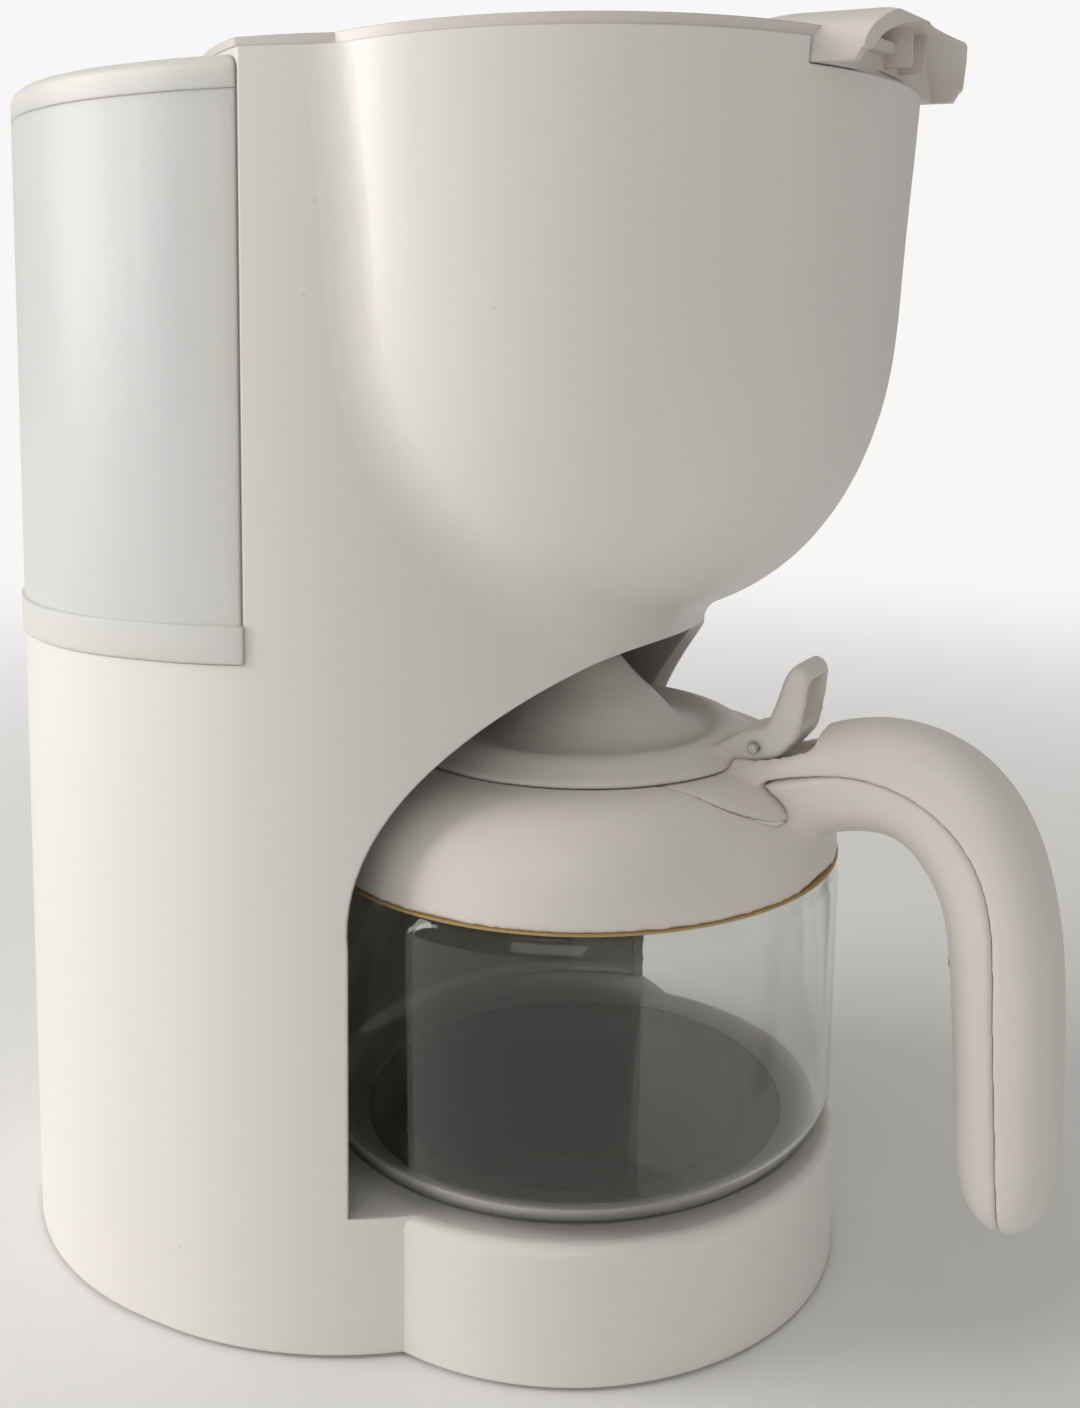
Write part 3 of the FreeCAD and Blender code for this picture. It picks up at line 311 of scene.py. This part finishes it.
def start_material(slot):
    """A new node material, kept under the name of the record's slot that it finishes."""
    made = bpy.data.materials.new(slot + "_finish")
    finishes[slot] = made
    made.use_nodes = True
    return made, made.node_tree, made.node_tree.nodes["Principled BSDF"]


def finish(name, colour, tint, rough=(0.3, 0.42), cloud=0.35, edge=0.3, fine=2200.0, ripple=0.5,
           depth=0.00001, radius=0.0006, speck=0.0, shader=None):
    """A solid finish. colour drifts to tint by cloud, edge sets how much a painted highlight lightens the
    edges, depth is in metres.
    """
    made, tree, principled = start_material(name)
    handling = group_node(tree, handling_group, Scale=9.0)
    edges = group_node(tree, edge_group, Radius=radius)
    grain = group_node(tree, grain_group, Fine=fine, Ripple=ripple)
    drift = math_node(tree, "MULTIPLY", handling.outputs["Cloud"], cloud)
    base = mix_colour(tree, drift, colour, tint)
    # painted highlight: the colour is lightened along every edge, standing for light caught by the rounding
    edge_highlight = math_node(tree, "MULTIPLY", edges.outputs["Edge"], edge)
    highlight_tint = tuple(min(1.0, c * 1.12 + 0.02) for c in colour)
    base = mix_colour(tree, edge_highlight, base, highlight_tint)
    if speck:
        specks = math_node(tree, "MULTIPLY", handling.outputs["Speck"], speck)
        base = mix_colour(tree, specks, base, (0.30, 0.24, 0.17))
    tree.links.new(base, principled.inputs["Base Color"])
    roughness = add(tree, "ShaderNodeMapRange", Value=handling.outputs["Cloud"], n3=rough[0], n4=rough[1])
    tree.links.new(roughness.outputs["Result"], principled.inputs["Roughness"])
    bump = add(tree, "ShaderNodeBump", Height=grain.outputs["Height"], Distance=depth,
               Normal=edges.outputs["Normal"])
    tree.links.new(bump.outputs["Normal"], principled.inputs["Normal"])
    for label, value in (shader or {}).items():
        principled.inputs[label].default_value = value
    return made


print("finish recipe ready")

# %% [markdown]
# ## The finishes
# The shell, the lid and the jug's plastic are three mouldings of nearly one off-white: the jug's is
# a shade greyer, and the lid's colour is set greyer still as painted shade. The liner in the bay is
# matt, and its colour is darkened as painted shade for the shadowed bay. A little subsurface keeps
# white plastic from looking like plaster. Metals take their tint from the base colour and their
# sheen from roughness.

# %% Make the finishes
SOFT_WHITE = {"Subsurface Weight": 0.12, "Subsurface Radius": (0.004, 0.003, 0.002), "Subsurface Scale": 0.5,
              "Coat Weight": 0.12, "Coat Roughness": 0.12, "IOR": 1.49}
METAL = {"Metallic": 1.0}

shell_plastic = finish("shell_plastic", (0.865, 0.845, 0.805), (0.845, 0.810, 0.755), rough=(0.30, 0.35),
                       cloud=0.30, speck=0.15, shader=SOFT_WHITE)
# painted shade: the lid's colour is greyer than the shell's to stand for the shade on the lid and its tab
lid_plastic = finish("lid_plastic", (0.76, 0.73, 0.69), (0.72, 0.68, 0.62), rough=(0.30, 0.45),
                     shader=SOFT_WHITE)
jug_plastic = finish("jug_plastic", (0.80, 0.770, 0.725), (0.76, 0.715, 0.65), rough=(0.34, 0.48),
                     depth=0.000014, shader=SOFT_WHITE, speck=0.2)
# painted shade: the liner is the shell's warm plastic, its colour darkened for the shade inside the bay
liner_plastic = finish("liner_plastic", (0.40, 0.375, 0.345), (0.34, 0.315, 0.28), rough=(0.42, 0.6),
                       depth=0.00003, fine=1500.0)
base_plastic = finish("base_plastic", (0.40, 0.39, 0.37), (0.33, 0.31, 0.29), rough=(0.5, 0.65),
                      depth=0.00003, fine=1500.0)
plate_coating = finish("plate_coating", (0.060, 0.054, 0.048), (0.085, 0.074, 0.062), rough=(0.34, 0.5),
                       cloud=0.8, depth=0.00002, fine=1800.0, speck=0.5)
ring_seal = finish("ring_seal", (0.25, 0.228, 0.20), (0.20, 0.176, 0.147), rough=(0.45, 0.6),
                   cloud=0.7, depth=0.00002, speck=0.4)
heater_alloy = finish("heater_alloy", (0.72, 0.72, 0.73), (0.5, 0.5, 0.5), rough=(0.35, 0.55), shader=METAL)
zinc_steel = finish("zinc_steel", (0.62, 0.62, 0.60), (0.45, 0.44, 0.42), rough=(0.25, 0.4), shader=METAL)
spring_steel = finish("spring_steel", (0.75, 0.75, 0.75), (0.6, 0.6, 0.6), rough=(0.12, 0.2), shader=METAL)
hose_rubber = finish("hose_rubber", (0.72, 0.70, 0.64), (0.62, 0.58, 0.5), rough=(0.45, 0.6))
foot_rubber = finish("foot_rubber", (0.03, 0.03, 0.03), (0.06, 0.055, 0.05), rough=(0.6, 0.75),
                     depth=0.00005, fine=900.0)
basket_plastic = finish("basket_plastic", (0.03, 0.03, 0.03), (0.06, 0.05, 0.04), rough=(0.42, 0.6),
                        depth=0.00003)
valve_plastic = finish("valve_plastic", (0.66, 0.63, 0.58), (0.55, 0.5, 0.42), rough=(0.4, 0.55))
seal_rubber = finish("seal_rubber", (0.56, 0.38, 0.15), (0.40, 0.26, 0.10), rough=(0.3, 0.45), cloud=0.6)
switch_plastic = finish("switch_plastic", (0.022, 0.022, 0.022), (0.04, 0.04, 0.04), rough=(0.22, 0.34),
                        edge=0.5)
lens_plastic = finish("lens_plastic", (0.60, 0.06, 0.015), (0.45, 0.05, 0.02), rough=(0.12, 0.2),
                      shader={"Transmission Weight": 0.35, "Coat Weight": 0.5})
terminal_plastic = finish("terminal_plastic", (0.66, 0.64, 0.6), (0.55, 0.52, 0.47), rough=(0.5, 0.6))
wire_cover = finish("wire_cover", (0.20, 0.07, 0.035), (0.12, 0.05, 0.03), rough=(0.4, 0.5))
print(len(finishes), "finishes")

# %% [markdown]
# ## Glass
# The jug is clear heat-proof glass, a little grey-green where it is thick. Full transmission with
# a low roughness gives its refraction; a faint film from many washes shows as a slight rise of
# roughness in patches. Metallic and transmission stay plain numbers.

# %% Glass finish
def glass(name):
    made, tree, principled = start_material(name)
    handling = group_node(tree, handling_group, Scale=14.0)
    film = add(tree, "ShaderNodeMapRange", Value=handling.outputs["Cloud"], n3=0.005, n4=0.03)
    tree.links.new(film.outputs["Result"], principled.inputs["Roughness"])
    tint = mix_colour(tree, handling.outputs["Cloud"], (0.965, 0.97, 0.96), (0.94, 0.94, 0.92))
    tree.links.new(tint, principled.inputs["Base Color"])
    principled.inputs["Transmission Weight"].default_value = 1.0
    principled.inputs["IOR"].default_value = 1.46
    return made


jug_glass_finish = glass("jug_glass")
print("glass ready")

# %% [markdown]
# ## Milky plastic
# The tank is translucent: light enters the thick edges and turns them warm and bright, while the
# flat sides stay cooler and cloudy. Distances to the tank's own edges drive that change, so the
# warm lines stay on the edges wherever the tank is seen from. Two of those edges slope, which a box
# can't tell, so their heights at the tower's axis and their slopes are given here, in metres.

# %% Milky finish
bowl_reach = 0.09265          # from the jug's axis to the tank's front edge
rim_height, rim_slope = 0.293, 0.03
tank_floor, floor_slope = 0.1616, 0.05
tower_y = 0.04677             # the tower's own axis
FRONT_GLOW, FOOT_GLOW, TOP_GLOW = 0.011, 0.014, 0.016


def near(tree, distance, width):
    """1 on an edge, falling to 0 at width metres away."""
    node = add(tree, "ShaderNodeMapRange", {"interpolation_type": "SMOOTHSTEP"}, Value=distance,
               n1=width, n2=0.0, n3=0.0, n4=1.0)
    return node.outputs["Result"]


def milky(name):
    made, tree, principled = start_material(name)
    place = add(tree, "ShaderNodeTexCoord").outputs["Object"]
    axes = add(tree, "ShaderNodeSeparateXYZ", Vector=place)
    level = add(tree, "ShaderNodeCombineXYZ", X=axes.outputs["X"], Y=axes.outputs["Y"])
    reach = add(tree, "ShaderNodeVectorMath", {"operation": "DISTANCE"}, n0=level.outputs["Vector"],
                n1=(0, jug_axis.y, 0)).outputs["Value"]
    front = near(tree, math_node(tree, "SUBTRACT", reach, bowl_reach), FRONT_GLOW)
    along = math_node(tree, "SUBTRACT", axes.outputs["Y"], tower_y)
    foot_level = math_node(tree, "SUBTRACT", tank_floor, math_node(tree, "MULTIPLY", along, floor_slope))
    rim_level = math_node(tree, "SUBTRACT", rim_height, math_node(tree, "MULTIPLY", along, rim_slope))
    above = math_node(tree, "SUBTRACT", axes.outputs["Z"], foot_level)
    below = math_node(tree, "SUBTRACT", rim_level, axes.outputs["Z"])
    foot = near(tree, above, FOOT_GLOW)
    top = near(tree, below, TOP_GLOW)
    warm = math_node(tree, "MAXIMUM", math_node(tree, "MAXIMUM", front, foot), top, clamp=True)
    handling = group_node(tree, handling_group, Scale=11.0)
    edges = group_node(tree, edge_group, Radius=0.0008)
    grain = group_node(tree, grain_group, Fine=1500.0, Ripple=1.5)
    cool = mix_colour(tree, handling.outputs["Cloud"], (0.87, 0.88, 0.86), (0.90, 0.895, 0.855))
    base = mix_colour(tree, warm, cool, (0.98, 0.94, 0.84))
    # painted highlight: every edge of the tank is lightened to a warm pale colour
    base = mix_colour(tree, edges.outputs["Edge"], base, (0.97, 0.94, 0.84))
    tree.links.new(base, principled.inputs["Base Color"])
    roughness = add(tree, "ShaderNodeMapRange", Value=handling.outputs["Cloud"], n3=0.30, n4=0.44)
    tree.links.new(roughness.outputs["Result"], principled.inputs["Roughness"])
    bump = add(tree, "ShaderNodeBump", Height=grain.outputs["Height"], Distance=0.00002,
               Normal=edges.outputs["Normal"])
    tree.links.new(bump.outputs["Normal"], principled.inputs["Normal"])
    principled.inputs["Transmission Weight"].default_value = 0.20
    principled.inputs["Subsurface Weight"].default_value = 0.4
    principled.inputs["Subsurface Radius"].default_value = (0.010, 0.008, 0.005)
    principled.inputs["Subsurface Scale"].default_value = 1.0
    principled.inputs["IOR"].default_value = 1.49
    return made


milky_plastic = milky("milky_plastic")
print("milky plastic ready")

# %% [markdown]
# ## Taking over from a measured part
# A measured part carries exact normals, so the ones whose shape is right already stay as they are
# and take a finish on their own material slot. A part that needs softer joins or a finer curve is
# modelled again; the new piece stands for the part, rides on its body and carries its own finish.

# %% Take-over helper
def take_over(piece, slot, *stands_for):
    """The piece rides on its part's body and stands for the part, which is hidden. slot is not used."""
    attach(piece, nodes[stands_for[0]]["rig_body"])
    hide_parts(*stands_for)
    return piece


def new_piece(name, work, finish_made):
    """A smooth mesh object at the origin from a bmesh, which is freed."""
    mesh = bpy.data.meshes.new(name)
    work.to_mesh(mesh)
    work.free()
    mesh.materials.append(finish_made)
    mesh.shade_smooth()
    piece = bpy.data.objects.new(name, mesh)
    scene.collection.objects.link(piece)
    return piece


replaced = []
print("take-over helper ready")

# %% [markdown]
# ## Turned pieces
# The jug's glass is round about the jug's axis, so it is drawn as a half outline and spun. The
# outline is a chain of points joined by edges; a vertex bevel rounds its corners, and a spin with
# use_merge closes the seam. Spinning gives even quads, which glass needs: every facet of a coarse
# wall would show as a crooked refraction.

# %% Turning helper
SPIN_STEPS = 144
ROUND_STEPS = 8


def turned(name, outline, rounds, finish_made):
    """Spins a half outline of (radius, height) in millimetres about the jug's axis, its ends on that axis.

    rounds maps a corner's place in the outline to its radius."""
    work = bmesh.new()
    centre_y = jug_axis.y
    chain = [work.verts.new((radius * MM, centre_y, height * MM)) for radius, height in outline]
    for first, second in zip(chain, chain[1:]):
        work.edges.new((first, second))
    for corner, radius in rounds.items():
        bmesh.ops.bevel(work, geom=[chain[corner]], offset=radius * MM, offset_type="OFFSET",
                        affect="VERTICES", segments=ROUND_STEPS, profile=0.5, material=-1, clamp_overlap=True)
    bmesh.ops.spin(work, geom=work.verts[:] + work.edges[:], cent=(0, centre_y, 0), axis=(0, 0, 1),
                   angle=math.tau, steps=SPIN_STEPS, use_merge=True)
    bmesh.ops.remove_doubles(work, verts=work.verts, dist=0.00001)
    bmesh.ops.recalc_face_normals(work, faces=work.faces)
    return new_piece(name, work, finish_made)


print("turning helper ready")

# %% [markdown]
# ## The jug's glass
# The wall is 2.2 mm thick, straight below the collar and drawn in to a neck under it. Its foot
# turns in with a round corner and rises a little in the middle, so that it stands on a ring. That
# thick round corner is what glows as a bright band at the foot of a real glass jug.

# %% Jug glass
GLASS_R = glass_radius / MM
GLASS_T = 2.2
FOOT = glass_low.z / MM
SHOULDER = collar_edge / MM
NECK = glass_high.z / MM


glass_outline = [
    (0, FOOT + 1.0), (30, FOOT + 0.9), (50, FOOT + 0.1), (GLASS_R, FOOT + 0.05),
    (GLASS_R, SHOULDER - 6), (GLASS_R - 0.9, SHOULDER - 2.6), (GLASS_R - 3.6, SHOULDER - 0.6),
    (62.4, SHOULDER + 7.2), (58.7, SHOULDER + 13.6), (53.8, SHOULDER + 18.6), (49.8, NECK),
    (47.6, NECK - 0.4), (51.6, SHOULDER + 17.4), (56.5, SHOULDER + 12.6), (60.2, SHOULDER + 6.2),
    (GLASS_R - 5.8, SHOULDER - 1.6), (GLASS_R - 3.1, SHOULDER - 3.6), (GLASS_R - GLASS_T, SHOULDER - 7),
    (GLASS_R - GLASS_T, FOOT + GLASS_T + 0.6), (50, FOOT + GLASS_T + 0.4), (0, FOOT + GLASS_T + 1.2),
]
jug_glass_shell = turned("jug_glass_shell", glass_outline, {3: 9.0, 18: 6.6}, jug_glass_finish)
take_over(jug_glass_shell, "jug_glass", "jug_glass")
replaced.append("jug_glass")
print("glass", len(jug_glass_shell.data.polygons), "faces, radius", GLASS_R, "neck", round(NECK, 1))

# %% [markdown]
# ## Collar, grip, cover and lid
# The jug's collar flows into its handle without a corner, the cover lies over both with only a
# hairline seam, and the lid's thumb tab has no crisp edge. A voxel remesh turns each measured solid
# into even cells; smoothing then relaxes the whole skin a little, and chosen spots more: the root
# of the handle a lot, and the tab a little. Each spot shrinks as its rounds go on, so its border
# fades. Remeshing also rounds each piece's rims slightly, which is what makes the seams show.

# %% Soft pieces
ROOT = Vector((0, jug_axis.y - 0.0600, collar_edge + 0.0165))
TAB = Vector((0, jug_axis.y - 0.0590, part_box("jug_lid")[1].z - 0.006))
SOFT_VOXEL = 0.00075
WHOLE_ROUNDS = 3
ROUNDS_PER_RING = 6
SPOT_SHRINK = 0.6            # how much smaller a spot is in its last round


def relax(work, verts):
    bmesh.ops.smooth_vert(work, verts=verts, factor=0.5, use_axis_x=True, use_axis_y=True, use_axis_z=True)


def soft_piece(node, name, finish_made, slot, spots):
    """Remeshes a measured solid evenly, then smooths it; spots are (centre, reach, rounds)."""
    work = bmesh.new()
    work.from_mesh(nodes[node].data)
    bmesh.ops.remove_doubles(work, verts=work.verts, dist=0.000002)
    source = new_piece(name + "_source", work, finish_made)
    remesh = source.modifiers.new("even cells", "REMESH")
    remesh.mode = "VOXEL"
    remesh.voxel_size = SOFT_VOXEL
    evaluated = source.evaluated_get(bpy.context.evaluated_depsgraph_get())
    work = bmesh.new()
    work.from_mesh(evaluated.to_mesh())
    bpy.data.objects.remove(source)
    for _ in range(WHOLE_ROUNDS):
        relax(work, work.verts)
    for centre, reach, rounds in spots:
        for step in range(rounds):
            if step % ROUNDS_PER_RING == 0:
                ring = reach * (1 - SPOT_SHRINK * step / rounds)
                inside = [v for v in work.verts if (v.co - centre).length < ring]
            relax(work, inside)
    piece = new_piece(name, work, finish_made)
    take_over(piece, slot, node)
    replaced.append(node)
    print(name, len(piece.data.polygons), "faces")
    return piece


soft_piece("jug_collar", "collar_and_grip", jug_plastic, "jug_plastic", [(ROOT, 0.020, 90)])
soft_piece("handle_cover", "grip_cover", jug_plastic, "jug_plastic", [])
soft_piece("jug_lid", "jug_lid_moulding", jug_plastic, "jug_plastic", [(TAB, 0.016, 10)])

# %% [markdown]
# ## Parts that keep their measured shape
# Everything else takes its finish straight onto its own slot, by the slot that the record names.

# %% Finishes for the measured parts
slot_of = {part["node"]: part["material_slot"] for part in frame["record"]["subparts"]}
for node in nodes:
    if node not in replaced:
        nodes[node].data.materials.clear()
        nodes[node].data.materials.append(finishes[slot_of[node]])
print("finished in place:", len(nodes) - len(replaced))

# %% [markdown]
# ## The floor
# The floor is one wide disc, pale and matt, at the height of the feet. Away from the machine it
# fades into the surround where the camera sees it directly, so that no horizon shows. It is staged,
# so it doesn't count as part of the machine.

# %% Floor
FLOOR_RADIUS = 9.0
HAZE_FROM, HAZE_TO = 0.25, 1.1
work = bmesh.new()
bmesh.ops.create_circle(work, cap_ends=True, segments=96, radius=FLOOR_RADIUS)
floor_mesh = bpy.data.meshes.new("floor")
work.to_mesh(floor_mesh)
work.free()
floor_paint, tree, floor_shader = start_material("floor_paint")
floor_shader.inputs["Base Color"].default_value = (0.90, 0.90, 0.90, 1)
floor_shader.inputs["Roughness"].default_value = 0.7
place = add(tree, "ShaderNodeTexCoord").outputs["Object"]
far_off = add(tree, "ShaderNodeMapRange", {"interpolation_type": "SMOOTHSTEP"}, n1=HAZE_FROM, n2=HAZE_TO,
              Value=add(tree, "ShaderNodeVectorMath", {"operation": "LENGTH"}, n0=place).outputs["Value"])
seen = math_node(tree, "MULTIPLY", far_off.outputs["Result"],
                 add(tree, "ShaderNodeLightPath").outputs["Is Camera Ray"])
haze = add(tree, "ShaderNodeEmission", Color=(0.93, 0.93, 0.93, 1))
blend = add(tree, "ShaderNodeMixShader", n0=seen)
tree.links.new(floor_shader.outputs[0], blend.inputs[1])
tree.links.new(haze.outputs[0], blend.inputs[2])
tree.links.new(blend.outputs[0], tree.nodes["Material Output"].inputs["Surface"])
floor_mesh.materials.append(floor_paint)
floor = bpy.data.objects.new("floor", floor_mesh)
scene.collection.objects.link(floor)
print("floor laid")
